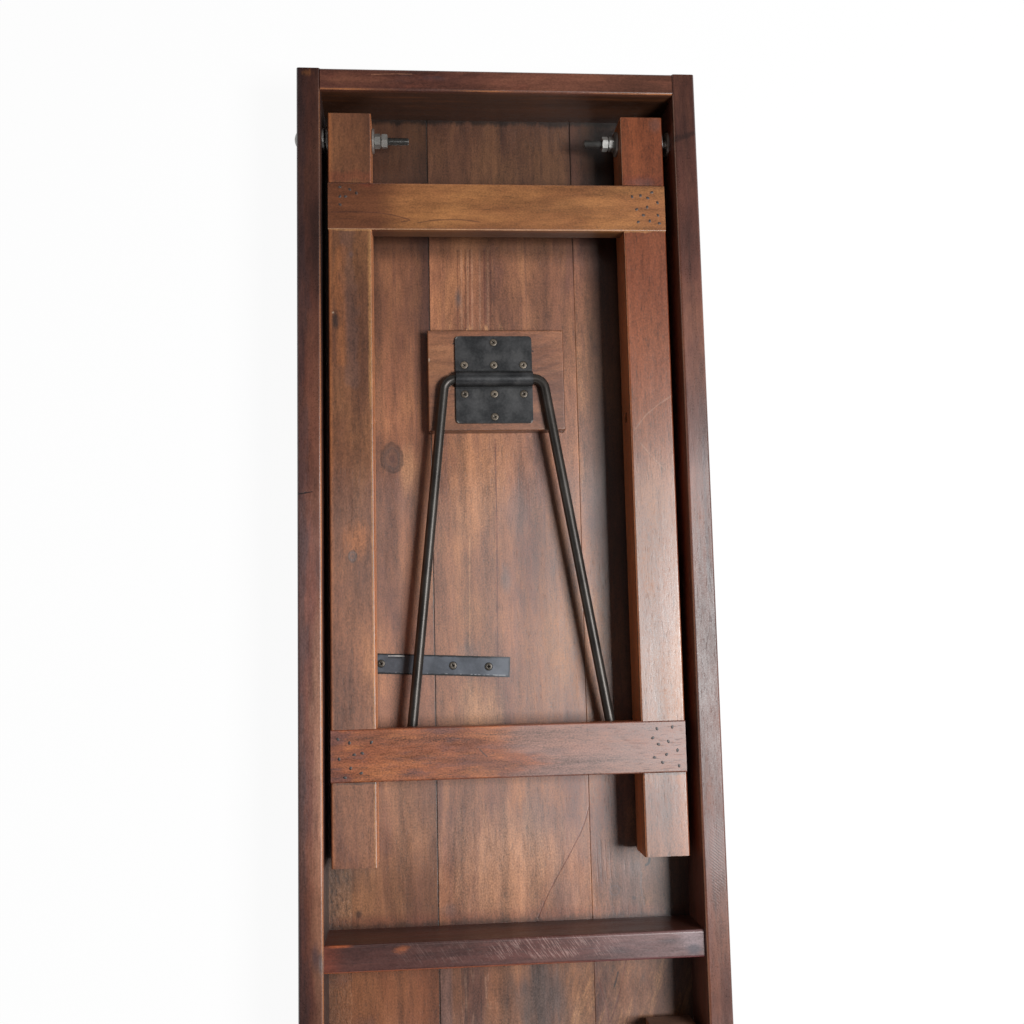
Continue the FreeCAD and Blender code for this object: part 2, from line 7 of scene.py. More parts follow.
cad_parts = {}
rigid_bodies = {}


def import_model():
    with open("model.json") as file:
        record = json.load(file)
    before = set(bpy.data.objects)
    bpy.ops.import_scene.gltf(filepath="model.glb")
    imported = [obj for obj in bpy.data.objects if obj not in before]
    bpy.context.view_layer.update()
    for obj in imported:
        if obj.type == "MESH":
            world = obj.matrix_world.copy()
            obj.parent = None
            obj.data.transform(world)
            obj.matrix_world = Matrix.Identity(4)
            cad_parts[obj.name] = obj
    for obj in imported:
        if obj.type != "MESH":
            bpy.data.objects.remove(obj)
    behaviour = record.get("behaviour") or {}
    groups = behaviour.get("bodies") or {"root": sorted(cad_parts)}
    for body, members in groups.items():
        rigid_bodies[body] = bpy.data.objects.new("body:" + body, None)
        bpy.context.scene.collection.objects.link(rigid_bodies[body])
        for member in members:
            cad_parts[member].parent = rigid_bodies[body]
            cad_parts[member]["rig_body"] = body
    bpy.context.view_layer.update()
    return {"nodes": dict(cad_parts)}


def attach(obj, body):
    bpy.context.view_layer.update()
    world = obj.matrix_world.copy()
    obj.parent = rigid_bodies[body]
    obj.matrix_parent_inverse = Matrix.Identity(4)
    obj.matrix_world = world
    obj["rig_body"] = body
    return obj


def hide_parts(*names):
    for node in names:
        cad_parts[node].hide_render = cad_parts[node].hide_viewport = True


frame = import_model()
nodes = frame["nodes"]


# Top boards: three full-length boards of reclaimed hardwood, planed, stained red-brown and waxed.
# They lie edge to edge with dark joints, and the frame is nailed on round them; along parts of the frame
# they carry painted shade.
class Wire:
    """A socket of a material, written into sums and patterns."""

    def __init__(self, socket):
        self.socket = socket

    def node(self, kind, settings=None, inputs=None, output=0):
        """Add a node to this socket's material, set it up, feed it, and give back one of its outputs."""
        tree = self.socket.id_data
        made = tree.nodes.new(kind)
        for name, value in (settings or {}).items():
            setattr(made, name, value)
        for name, value in (inputs or {}).items():
            if isinstance(value, Wire):
                tree.links.new(value.socket, made.inputs[name])
            else:
                made.inputs[name].default_value = value
        return Wire(made.outputs[output])

    def reckon(self, operation, first, second=0.0):
        return self.node("ShaderNodeMath", {"operation": operation}, {0: first, 1: second})

    def __add__(self, other):
        return self.reckon("ADD", self, other)

    def __radd__(self, other):
        return self.reckon("ADD", other, self)

    def __sub__(self, other):
        return self.reckon("SUBTRACT", self, other)

    def __rsub__(self, other):
        return self.reckon("SUBTRACT", other, self)

    def __mul__(self, other):
        return self.reckon("MULTIPLY", self, other)

    def __rmul__(self, other):
        return self.reckon("MULTIPLY", other, self)

    def __truediv__(self, other):
        return self.reckon("DIVIDE", self, other)

    def __pow__(self, other):
        return self.reckon("POWER", self, other)

    def __abs__(self):
        return self.reckon("ABSOLUTE", self)

    def sine(self):
        return self.reckon("SINE", self)

    def larger(self, other):
        return self.reckon("MAXIMUM", self, other)

    def smaller(self, other):
        return self.reckon("MINIMUM", self, other)

    def step(self, low, high):
        """Rise smoothly from 0 at low to 1 at high, or fall where low is above high."""
        return self.node("ShaderNodeMapRange", {"interpolation_type": "SMOOTHSTEP"},
                         {"Value": self, "From Min": low, "From Max": high})

    def within(self, low, high, soft):
        """Give 1 between two values and fade to 0 outside them."""
        return self.step(low - soft, low + soft) * self.step(high + soft, high - soft)

    def blend(self, under, over):
        """Lay one colour over another as thickly as this value says."""
        return self.node("ShaderNodeMix", {"data_type": "RGBA"}, {0: self, 6: under, 7: over}, 2)

    def dim(self, colour):
        """Make a colour darker or lighter by this value."""
        return self.node("ShaderNodeMix", {"data_type": "RGBA", "blend_type": "MULTIPLY"},
                         {0: 1.0, 6: colour, 7: self}, 2)


def swatch(red, green, blue):
    """Give a colour written in steps of 255 as the light that a shader takes."""
    linear = [(part / 255 / 12.92) if part < 10 else ((part / 255 + 0.055) / 1.055) ** 2.4
              for part in (red, green, blue)]
    return (*linear, 1.0)


class Finish:
    """A material built up in layers, with marks laid at places in millimetres of the table's plan.

    Patterns are given as so many to the metre, across the grain and along it.
    """

    def __init__(self, name, grain="y", shift=0.0, run=60):
        self.material = bpy.data.materials.new(name)
        self.material.use_nodes = True
        self.surface = self.material.node_tree.nodes["Principled BSDF"]
        self.grain = grain
        self.shift = (shift, shift * 1.7, shift * 0.6)
        start = Wire(self.surface.inputs["Base Color"])
        self.place = start.node("ShaderNodeTexCoord", output="Object")
        self.normal = Wire(self.place.socket.node.outputs["Normal"])
        plan = start.node("ShaderNodeVectorMath", {"operation": "SCALE"}, {0: self.place, "Scale": 1000.0})
        self.x, self.y, self.z = self.split(plan)
        self.ragged = self.noise(90, run, 4, 0.7) - 0.5
        self.wobble = self.noise(120, 60, 2) - 0.5

    def turn_round(self):
        """Read places on half b of the table, which is half a turned round."""
        self.x, self.y = self.x * -1, self.y * -1

    def split(self, vector):
        """Give the three parts of a vector."""
        parts = vector.node("ShaderNodeSeparateXYZ", None, {"Vector": vector})
        return [Wire(socket) for socket in parts.socket.node.outputs]

    def noise(self, across, along, detail, rough=0.5, lean=0.0):
        """Give a cloudy pattern, which may lean over to the right as it runs up the table."""
        place = self.place
        if lean:
            slide = place.node("ShaderNodeCombineXYZ", None, {"X": self.y * (-lean / 1000)})
            place = place.node("ShaderNodeVectorMath", {"operation": "ADD"}, {0: place, 1: slide})
        scale = (across, along, across) if self.grain == "y" else (along, across, across)
        spread = place.node("ShaderNodeVectorMath", {"operation": "MULTIPLY_ADD"},
                            {0: place, 1: scale, 2: self.shift})
        return spread.node("ShaderNodeTexNoise", None,
                           {"Vector": spread, "Scale": 1.0, "Detail": detail, "Roughness": rough}, "Fac")

    def spot(self, x, y, width, length, ragged=2.0):
        """Give a mask over an oval of the plan, with a ragged rim."""
        across = (self.x - x) / width
        along = (self.y - y) / length
        distance = (across * across + along * along) ** 0.5
        return (distance + self.ragged * ragged).step(1.25, 0.2)

    def scratch(self, start, end, width):
        """Give a mask along a straight stroke of the plan."""
        run_x, run_y = end[0] - start[0], end[1] - start[1]
        near_x, near_y = self.x - start[0], self.y - start[1]
        share = (near_x * run_x + near_y * run_y) / (run_x * run_x + run_y * run_y)
        share = share.larger(0.0).smaller(1.0)
        off_x, off_y = near_x - share * run_x, near_y - share * run_y
        distance = (off_x * off_x + off_y * off_y) ** 0.5
        return (distance + self.wobble * (1.6 * width)).step(width, 0.3 * width)

    def stroke(self, points, width):
        """Give a mask along a bent line."""
        mask = self.scratch(points[0], points[1], width)
        for start, end in zip(points[1:], points[2:]):
            mask = mask.larger(self.scratch(start, end, width))
        return mask

    def arris(self, low=0.04, high=0.2):
        """Give a mask over the rounded edges."""
        parts = [abs(part) for part in self.split(self.normal)]
        return (1 - parts[0].larger(parts[1]).larger(parts[2])).step(low, high)

    def lay(self, mask, colour, rise=0.0):
        """Lay a colour over the finish where a mask says, raised or sunk by so many millimetres."""
        self.colour = mask.blend(self.colour, colour)
        if rise:
            self.height = self.height + mask * rise

    def darken(self, mask, share):
        """Darken the finish by a share where a mask says."""
        self.colour = (1 - mask * share).dim(self.colour)

    def close(self, bump=0.6):
        """Join the finish to its shader and give back the material."""
        links = self.material.node_tree.links
        raised = self.height.node("ShaderNodeBump", None,
                                  {"Height": self.height, "Strength": bump, "Distance": 0.001}, "Normal")
        links.new(self.colour.socket, self.surface.inputs["Base Color"])
        links.new(self.rough.socket, self.surface.inputs["Roughness"])
        links.new(raised.socket, self.surface.inputs["Normal"])
        return self.material


class Timber(Finish):
    """A stained and waxed timber, in a ground colour with deep and glowing patches."""

    def __init__(self, name, grain, colours, shift, fine=1.0, streaks=1.0, gloss=0.48, shine=0.95):
        super().__init__(name, grain, shift, run=14)
        ground, self.deep, glow = colours
        bend = (self.noise(4.0, 1.6, 2) - 0.5) * 0.02
        sway = bend.node("ShaderNodeCombineXYZ", None, {"X": bend} if grain == "y" else {"Y": bend})
        self.place = bend.node("ShaderNodeVectorMath", {"operation": "ADD"}, {0: self.place, 1: sway})
        # Patterns, from broad patches down to grit.
        self.patch = self.noise(17, 7, 4, 0.55)
        self.streak = self.noise(60, 3.5, 3, 0.6) - 0.5
        self.cloud = self.noise(52, 9, 4, 0.6) - 0.5
        self.fibre = self.noise(300, 50, 3, 0.6) - 0.5
        self.vein = self.noise(170, 5, 3, 0.6)
        self.pore = self.noise(900, 110, 2, 0.5).step(0.56, 0.70)
        self.stain = self.noise(8, 4, 4, 0.55).step(0.30, 0.70)
        grit = self.noise(800, 520, 2, 0.6) - 0.5
        wave = self.noise(26, 7, 2, 0.5)
        colour = (self.patch.step(0.52, 0.34) * 0.75).blend(ground, self.deep)
        colour = (self.patch.step(0.50, 0.68) * 0.6).blend(colour, glow)
        colour = (self.cloud.step(0.02, 0.22) * 0.3).blend(colour, glow)
        colour = (self.cloud.step(-0.02, -0.22) * 0.3).blend(colour, self.deep)
        colour = (self.vein.step(0.57, 0.70) * (0.35 * streaks)).blend(colour, self.deep)
        broad = self.streak * (1.4 * streaks) + self.cloud * 0.6
        small = self.fibre * (0.9 * fine) + grit * (1.6 * fine) - self.pore * (0.22 * fine)
        self.figure = 1.03 + broad + small
        self.colour = (self.figure * (0.84 + 0.32 * self.stain)).dim(colour)
        self.height = self.fibre * 0.07 + self.streak * 0.15 - self.pore * 0.03 + grit * 0.04 + wave * 0.45
        self.rough = gloss + self.pore * 0.1 + grit * 0.3 + self.fibre * 0.2 + self.cloud * 0.3
        # The wax has gone dull for some way along each half, and keeps its polish towards the ends.
        self.ends = abs(abs(self.y) - 260).step(130, 220)
        self.surface.inputs["Specular IOR Level"].default_value = shine

    def lay(self, mask, colour, rise=0.0):
        """Lay a colour over the wood, with the wood's figure showing through it."""
        super().lay(mask, self.figure.dim(colour), rise)

    def rub(self, mask, gloss, share=0.8):
        """Rub the wax smoother where a mask says."""
        self.rough = self.rough * (1 - mask * share) + mask * (share * gloss)

    def knot(self, x, y, radius, colour):
        """Lay a ringed knot."""
        off_x, off_y = self.x - x, (self.y - y) * 0.8
        distance = (off_x * off_x + off_y * off_y) ** 0.5 + self.wobble * (0.7 * radius)
        rings = (distance * (13.0 / radius)).sine() * 0.5 + 0.5
        self.lay(distance.step(radius, 0.85 * radius) * (0.35 + 0.35 * rings), colour)
        self.darken(distance.within(0.8 * radius, 0.92 * radius, 0.12 * radius), 0.5)
        self.lay(distance.step(0.4 * radius, 0.1 * radius) * 0.4, self.deep)

    def close(self, bump=0.6):
        """Darken and dull the end grain, then join the finish to its shader."""
        along = self.split(self.normal)["xy".index(self.grain)]
        end_grain = abs(along).step(0.7, 0.9)
        self.darken(end_grain, 0.45)
        self.rough = self.rough + end_grain * 0.3
        return super().close(bump)


def paint(material, *names):
    """Give CAD pieces a material."""
    for name in names:
        nodes[name].data.materials.clear()
        nodes[name].data.materials.append(material)


seam_left = -71
seam_right = 80
tray_end = 832
tray_side = 177
board_colours = (swatch(132, 85, 60), swatch(94, 58, 50), swatch(168, 114, 75))
board_gold = swatch(186, 136, 94)
board_pale = swatch(176, 136, 112)
board_smoke = swatch(94, 72, 69)
board_slate = swatch(88, 80, 80)
board_ink = swatch(36, 24, 21)
board_rust = swatch(92, 46, 34)
boards = {name: Timber("board_" + name, "y", board_colours, 3.1 * number)
          for number, name in enumerate(("left", "middle", "right"))}

board = boards["left"]
board.darken(board.y.step(500, 640), 0.34)
board.darken(board.y.step(260, 110), 0.34)
board.lay(board.spot(-105, 446, 30, 44) * 0.40, board_smoke)
board.lay(board.spot(-94, 462, 12, 26) * 0.45, board_gold)
board.knot(-112, 473, 13, swatch(70, 56, 52))
speckle = board.noise(420, 150, 3, 0.7)
worn = board.x.step(-154, -156) * board.y.within(-90, 74, 6)
board.lay(worn * 0.3, swatch(150, 114, 84))
board.lay(worn * speckle.step(0.51, 0.64) * 0.6, board_ink, -0.1)
board.lay(worn * speckle.step(0.47, 0.36) * 0.4, board_pale, 0.1)
board.lay(board.spot(-164, 66, 26, 26) * 0.5, swatch(72, 54, 44))
board.lay(board.stroke([(-156, -14), (-156, -30), (-155.5, -46)], 1.1) * 0.8, board_ink, -0.1)
board.lay(board.spot(-167, -34, 14, 9) * 0.6, board_smoke)
board.lay(board.spot(-148, 26, 3.4, 5) * 0.8, board_ink)
board.lay(board.spot(-143, -78, 14, 9) * 0.6, board_smoke)
board.lay(board.y.step(-14, -30) * 0.45, swatch(146, 84, 48))
board.darken(board.y.step(-10, -20), 0.14)

board = boards["middle"]
board.darken(board.y.within(130, 400, 60), 0.10)
board.lay(board.stroke([(-6, 492), (-6, 400), (-8, 285), (-8, 212)], 1.0) * 0.8, board_rust)
board.lay(board.scratch((-34, 390), (-36, 282), 0.9) * 0.4, board_gold)
board.lay(board.spot(15, 416, 17, 34) * 0.5, board_smoke)
board.lay(board.stroke([(27, 447), (28, 420), (27, 399)], 0.9) * 0.6, board_rust)
board.lay(board.spot(2, 348, 7, 16) * 0.5, board_slate)
board.lay(board.spot(-38, 276, 12, 14) * 0.35, board_slate)
board.lay(board.spot(26, 112, 36, 26) * 0.55, board_smoke)
for ridge in (-37, -30.4, -26, -18, -9.5):
    board.lay(board.scratch((ridge, 692), (ridge - 1.2, 604), 1.4) * 0.24, board_pale)
for furrow in (-41, -33, -28.2, -13, -7):
    board.lay(board.scratch((furrow, 692), (furrow - 1.2, 604), 1.0) * 0.55, board_rust)
board.lay(board.spot(-41.5, 640, 4.5, 16) * 0.7, board_slate)
fleck = board.noise(280, 46, 2).step(0.56, 0.68)
board.lay(board.y.within(602, 612, 6) * board.x.within(-52, 4, 6) * fleck * 0.7, board_gold)
board.lay(board.spot(-28, 212, 26, 36) * 0.45, board_gold)
board.lay(board.spot(-6, 66, 64, 62) * 0.50, swatch(186, 134, 98))
board.lay(board.spot(-60, 26, 9, 9) * 0.5, board_smoke)
board.lay(board.spot(54, 38, 20, 22) * 0.45, board_smoke)
crack = [(81, 127), (76, 109), (70, 95), (58, 74), (44, 51), (34, 33), (26, 16)]
board.lay(board.stroke(crack, 0.9) * 0.7, board_rust, -0.2)
board.darken(board.y.step(-8, -24), 0.30)
board.lay(board.x.step(-57, -61) * board.y.step(-12, -22) * 0.55, board_smoke)
shredded = board.x.within(-56, -14, 5) * board.y.step(-12, -22)
board.lay(shredded * board.patch.step(0.40, 0.60) * 0.3, swatch(166, 108, 70))
board.lay(shredded * fleck * 0.28, board_pale)
board.lay(shredded * board.vein.step(0.55, 0.64) * 0.4, board_ink, -0.05)
board.lay(board.spot(25, -60, 32, 50, 1.6) * 0.8, swatch(74, 64, 62))

board = boards["right"]
# Painted shadow: the right board darkens towards the right rail, from the middle of the half upwards.
board.darken(board.x.step(82, 104) * board.y.step(150, 320), 0.55)
board.darken(board.spot(140, 40, 52, 56), 0.5)
board.darken(board.y.step(-6, -24), 0.36)
board.lay(board.spot(96, 415, 14, 60) * 0.35, board_smoke)
ring_x, ring_y = board.x - 103, board.y - 39
ring = (ring_x * ring_x + ring_y * ring_y) ** 0.5
board.lay(ring.within(4.0, 5.2, 0.6) * 0.6, board_slate)
board.lay(board.stroke([(130, 55), (129, 44), (130, 33)], 1.4) * 0.6, board_slate)
board.lay(board.spot(125, 61, 6, 7) * 0.4, board_slate)
board_soot = swatch(16, 12, 11)
board.lay(board.stroke([(139, 68), (138, 64), (135, 62)], 1.4), board_soot)
board.lay(board.spot(122, 31, 2.6, 2.2, 1.0), board_soot)
board.lay(board.spot(112, 44, 30, 40) * 0.45, board_smoke)
for groove in (86, 90, 94.5, 99):
    board.lay(board.scratch((groove, 88), (groove + 1, 48), 0.8) * 0.4, board_rust, -0.1)
board.lay(board.stroke([(112, -26), (109.7, -38), (102.5, -66), (94, -86)], 0.9) * 0.7, board_rust, -0.05)
board.lay(board.stroke([(84, -44), (88, -60), (92.4, -75), (93, -86)], 0.9) * 0.6, board_rust, -0.05)
board.lay(board.stroke([(103.6, -39), (102, -45), (99.8, -52)], 1.5) * 0.9, board_ink)

for name, board in boards.items():
    if name != "left":
        figure = board.noise(64, 9, 4, 0.75, lean=0.36)
        figured = board.y.step(-12, -24) * board.x.step(40, 62)
        board.lay(figured * figure.step(0.50, 0.66) * 0.45, swatch(172, 124, 84))
        board.lay(figured * figure.step(0.48, 0.34) * 0.6, swatch(84, 60, 50))
    board.lay(board.y.within(-24, 24, 5) * (0.3 + 0.3 * board.stain), board_rust)
    # Darker along the bearer and along the end aprons, with a ragged edge.
    ragged_along = abs(board.y) + board.ragged * 16
    board.darken(ragged_along.step(20, 13), 0.6)
    board.darken(ragged_along.step(tray_end - 6, tray_end), 0.8)
    # Painted shade: a band under the upper cross-rail of half a, a darkening beyond it towards end apron
    # a, and a darkening along both side aprons under the rails.
    board.darken(board.y.within(684, 720, 10), 0.45)
    board.darken(board.y.step(660, 760), 0.64)
    board.darken(abs(board.x).step(tray_side - 17, tray_side), 0.35)
    left_joint = (abs(board.x - seam_left) + board.wobble).step(1.3, 0.4)
    right_joint = (abs(board.x - seam_right) + board.wobble).step(1.3, 0.4)
    board.darken(left_joint.larger(right_joint * board.y.step(640, 720)), 0.7)
    board.rub(board.ends, 0.29)
    paint(board.close(), "top_board_" + name)

# Side aprons: long boards on edge, nailed round the top and stained almost black.
# Handling has worn their inner arrises back to orange wood.
apron_colours = (swatch(90, 53, 43), swatch(50, 29, 26), swatch(124, 78, 58))
apron_worn = swatch(184, 116, 66)
apron_brown = swatch(128, 78, 48)
apron_ink = swatch(26, 17, 17)
apron_plum = swatch(62, 48, 52)
apron_red = swatch(116, 64, 50)
apron_blush = swatch(180, 128, 100)
for number, side in enumerate(("left", "right")):
    apron = Timber("side_apron_" + side, "y", apron_colours, 11.3 + 2.3 * number,
                   fine=0.7, gloss=0.46, shine=0.7)
    on_top = apron.z.step(83, 85)
    apron.rub(on_top * apron.ends, 0.24)
    within_tray = abs(apron.y).step(838, 828)
    apron.lay(apron.noise(60, 5, 4, 0.6).step(0.62, 0.74) * 0.6, apron_ink)
    inner = abs(apron.x).step(190, 184)
    worn_arris = on_top * apron.arris() * inner * within_tray
    wear_and_highlight = apron.noise(40, 9, 3).step(0.36, 0.58)
    if side == "left":
        streaky = apron.x + apron.ragged * 30
        apron.lay(streaky.step(-187, -196) * 0.45, apron_plum)
        apron.lay(streaky.within(-193, -185, 3) * apron.stain * 0.4, apron_red)
        blushed = on_top * (apron.x + apron.ragged * 20).step(-190, -180)
        apron.lay(blushed * apron.y.within(60, 300, 60) * 0.5, apron_blush)
        apron.lay(blushed * apron.y.step(80, 20) * (0.15 + 0.35 * apron.stain), apron_blush)
        apron.lay(worn_arris * (0.15 + 0.4 * wear_and_highlight), apron_worn)
        # Painted shade: the inner face darkens below its top, where the rail shades it.
        apron.darken(inner * apron.z.step(84, 76), 0.6)
        apron.lay(apron.scratch((-199, 429), (-186, 431), 1.0) * 0.9, apron_ink, -0.3)
        apron.lay(apron.spot(-192, 850, 7, 4, 6.0) * 0.4, apron_worn)
        apron.darken(apron.y.step(360, 760), 0.5)
        apron.darken(apron.y.step(90, 30), 0.25)
        apron.lay(apron.spot(-184, 4, 6, 14) * 0.7, apron_plum)
        apron.lay(apron.spot(-179.5, -2, 2.5, 16) * 0.7, board_slate, -0.4)
    else:
        apron.lay(worn_arris * (0.3 + 0.5 * wear_and_highlight), apron_brown)
        # Painted light: the inner face is laid in warm red below its top, fading into shade towards the
        # boards.
        painted_warm_light = abs(apron.x).step(180, 177.5) * apron.z.step(84, 80) * apron.z.step(36, 70)
        apron.lay(painted_warm_light * 0.8, apron_red)
        apron.lay(apron.x.step(192, 198) * apron.noise(40, 3, 3).step(0.38, 0.62) * 0.4, apron_colours[1])
        apron.lay(apron.stroke([(178, 786), (186, 788), (200, 794)], 5) * 0.5, apron_ink)
        apron.lay(apron.stroke([(194, 480), (193.5, 400), (194, 330)], 2.2) * 0.5, apron_plum)
        saw = ((apron.x * 0.8 + apron.y) * 2.2 + apron.ragged * 6).sine() * 0.5 + 0.5
        apron.lay(apron.spot(191, 78, 10, 44) * saw.step(0.3, 0.9) * 0.6, apron_ink, -0.05)
        apron.darken(apron.y.step(400, 800), 0.3)
    paint(apron.close(), "side_apron_" + side)

# End aprons: short boards of the same wood and stain, held by nails through the side aprons.
# Their inner faces carry painted shade, and their inner arrises are rubbed orange.
for number, half in enumerate(("a", "b")):
    apron = Timber("end_apron_" + half, "x", apron_colours, 17.9 + 2.3 * number,
                   fine=0.7, gloss=0.46, shine=0.5)
    if half == "b":
        apron.turn_round()
    apron.lay(apron.noise(50, 20, 4, 0.6).step(0.54, 0.72) * 0.4, apron_red)
    apron.lay(apron.noise(40, 14, 4, 0.6).step(0.60, 0.72) * 0.5, apron_plum)
    apron.lay(apron.x.step(-60, 60) * 0.3, apron_colours[2])
    inner = apron.y.step(838, 834)
    # Painted shade: the inner face below its top is laid in brown and darkened.
    painted_shade = inner * apron.z.step(84, 78)
    apron.lay(painted_shade * 0.7, apron_brown)
    worn_arris = apron.arris() * apron.y.step(846, 840)
    apron.lay(worn_arris * apron.noise(40, 9, 3).step(0.40, 0.6) * 0.6, apron_worn)
    apron.darken(painted_shade, 0.74)
    grained = inner * apron.noise(120, 7, 4, 0.7).step(0.50, 0.64)
    apron.lay(grained * apron.z.step(30, 70) * 0.4, swatch(104, 58, 28))
    apron.rub(apron.z.step(83, 85), 0.28)
    apron.lay(apron.stroke([(-126, 849), (-105, 850), (-86, 850)], 0.8) * 0.4, apron_blush)
    paint(apron.close(), "end_apron_" + half)

# Centre bearer: a sawn bar nailed across the middle of the tray, dark red-brown.
# Its top keeps the slanting marks of the saw, and its ends and arrises are rubbed orange.
bearer_orange = swatch(176, 88, 42)
bearer_colours = (swatch(86, 46, 40), swatch(55, 30, 30), swatch(110, 66, 56))
bearer = Timber("bearer_stain", "x", bearer_colours, 23.0, fine=0.7, gloss=0.44, shine=0.7)
on_top = bearer.z.step(78, 80)
upper_edge = bearer.y.step(9.5, 11.5)
lower_edge = bearer.y.step(-10.5, -12)
saw = bearer.noise(90, 760, 2, 0.5, lean=-0.7)
sawn = on_top * bearer.x.within(-108, 98, 16) * bearer.y.step(-10, -3)
sawn = sawn * bearer.noise(70, 36, 3).step(0.38, 0.56) * saw.step(0.50, 0.62)
bearer.lay(sawn * (0.2 + 0.25 * bearer.x.step(-70, -20)), swatch(164, 134, 126), 0.04)
on_sides = bearer.z.step(79, 74)
bearer.lay(on_sides * 0.5, swatch(86, 46, 28))
bearer.darken(on_top * bearer.x.step(20, -60), 0.42)
# Painted sheen: the right end of the top is laid in a pinkish grey.
bearer.lay(on_top * bearer.x.step(40, 120) * 0.4, swatch(116, 96, 98))
bearer.lay(bearer.x.step(-154, -178) * 0.4, swatch(130, 58, 34))
bearer.lay(on_top * upper_edge * bearer.x.within(-172, -154, 6) * 0.7, bearer_orange)
bearer.lay(on_top * bearer.spot(-106, 7.5, 7, 2.6, 6.0) * 0.5, swatch(168, 92, 50))
bearer.lay(lower_edge * bearer.x.step(100, 20) * (0.5 + 0.3 * bearer.stain), bearer_orange)
bearer.lay(lower_edge * bearer.x.step(30, 90) * 0.7, swatch(112, 36, 42))
bearer.lay(on_top * bearer.spot(143, 4, 13, 4) * 0.7, apron_plum)
bearer.lay(on_top * bearer.spot(96, -3, 14, 3.5) * 0.5, apron_plum)
bearer.lay(on_top * bearer.spot(164, 4, 18, 9) * 0.45, swatch(150, 134, 138))
bearer.lay(on_top * bearer.spot(166, -5, 8, 6) * 0.7, swatch(58, 56, 66))
# Painted shade: the side that faces end a is darkened.
bearer.darken(on_sides * bearer.y.step(8, 12), 0.15)
bearer.rub(on_top, 0.33, 0.6)
paint(bearer.close(), "centre_bearer")

# Leg rails: square posts of a cleaner, orange-brown wood, planed and waxed to a shine.
# Each is notched twice for the cross-rails and bored for its pivot bolt and the stay.
leg_colours = (swatch(132, 82, 54), swatch(98, 57, 42), swatch(162, 106, 66))
leg_orange = swatch(176, 104, 52)
leg_gold = swatch(190, 136, 84)
leg_red = swatch(118, 56, 38)
leg_ink = swatch(44, 30, 27)
leg_pale = swatch(206, 186, 164)
rails = {}
dulled = {"a_left": True, "a_right": False, "b_left": False, "b_right": True}
for number, name in enumerate(dulled):
    rails[name] = Timber("rail_" + name, "y", leg_colours, 31.0 + 2.9 * number,
                         fine=0.9, streaks=0.9, gloss=0.52 if dulled[name] else 0.39)

rail = rails["a_left"]
rail.darken(rail.y.step(240, 420), 0.34)
rail.lay(rail.stroke([(-152, 692), (-151, 650), (-149, 600), (-147, 540)], 9) * 0.35, board_smoke)
rail.lay(rail.stroke([(-159, 672), (-160, 640), (-158, 600), (-159, 560)], 7) * 0.25, leg_orange)
rail.lay(rail.spot(-165, 602, 4.5, 10) * 0.8, leg_ink)
rail.lay(rail.spot(-166, 609, 1.2, 1.2, 0.5) * 0.6, leg_pale)
rail.lay(rail.spot(-148, 668, 3, 4) * 0.6, board_smoke)
rail.lay(rail.spot(-143, 386, 14, 20) * 0.5, leg_orange)
rail.knot(-149, 370, 5, board_slate)
# Painted highlight: a thin gold line and a wider gold stripe along the right arris, where its round-over
# catches the light.
painted_arris_highlight = rail.x.within(-130.4, -129.4, 0.6) * rail.y.step(700, 680)
rail.lay(painted_arris_highlight * (0.3 + 0.4 * rail.stain), leg_gold)
wear_and_highlight = (rail.x + rail.ragged * 3).step(-133, -131) * rail.y.within(520, 690, 12)
rail.lay(wear_and_highlight * 0.45, leg_gold)
rail.lay(rail.x.step(-165, -169) * 0.35, leg_orange)

rail = rails["a_right"]
rail.lay(rail.y.step(380, 560) * 0.75, swatch(126, 60, 29))
rail.darken(rail.y.within(380, 540, 70), 0.20)
rail.darken(rail.y.step(540, 380), 0.24)
rail.lay(rail.spot(160, 806, 8, 8) * 0.4, board_smoke)
rail.lay(rail.spot(145, 745, 18, 5) * 0.6, board_smoke)
rail.lay(rail.stroke([(128, 490), (140, 505), (152, 515), (166, 524)], 1.0) * 0.11, leg_pale)
rail.lay(rail.stroke([(134, 477), (146, 462), (158, 450)], 1.0) * 0.08, leg_pale)
saw = ((rail.x - rail.y * 0.9) * 2.4).sine() * 0.5 + 0.5
rail.lay(rail.spot(156, 104, 18, 40) * saw.step(0.3, 0.9) * 0.35, leg_colours[1], -0.03)

for name, rail in rails.items():
    if name[0] == "b":
        rail.turn_round()
    top = rail.z.step(73, 74.6)
    rail.rub(top * rail.ends, 0.28)
    rail.darken(rail.noise(540, 62, 2, 0.5).step(0.60, 0.70), 0.22 if dulled[name] else 0.38)
    # Painted light: everything below the top is laid in a lighter orange, for the light the sides catch.
    rail.lay(rail.z.step(73.5, 70) * 0.85, swatch(200, 122, 72))
    arris = rail.arris()
    rail.lay(arris * 0.6, leg_red)
    rail.lay(arris * abs(rail.x).step(134, 131) * 0.6, leg_orange)
    rail.lay(top * (abs(rail.y - 693) + rail.wobble * 5).step(1.0, 0.2) * 0.5, leg_gold)
    rail.lay(top * (rail.y + rail.ragged * 16).within(742, 752, 3) * 0.4, leg_red)
    rail.darken(top * (abs(rail.y - 156.6) + rail.wobble * 5).step(1.6, 0.3), 0.6)
    rail.darken(rail.y.step(420, 700), 0.2)
    if name[0] == "b":
        rail.lay(rail.y.step(120, 84) * 0.6, swatch(74, 62, 48))
    paint(rail.close(), "leg_rail_" + name)
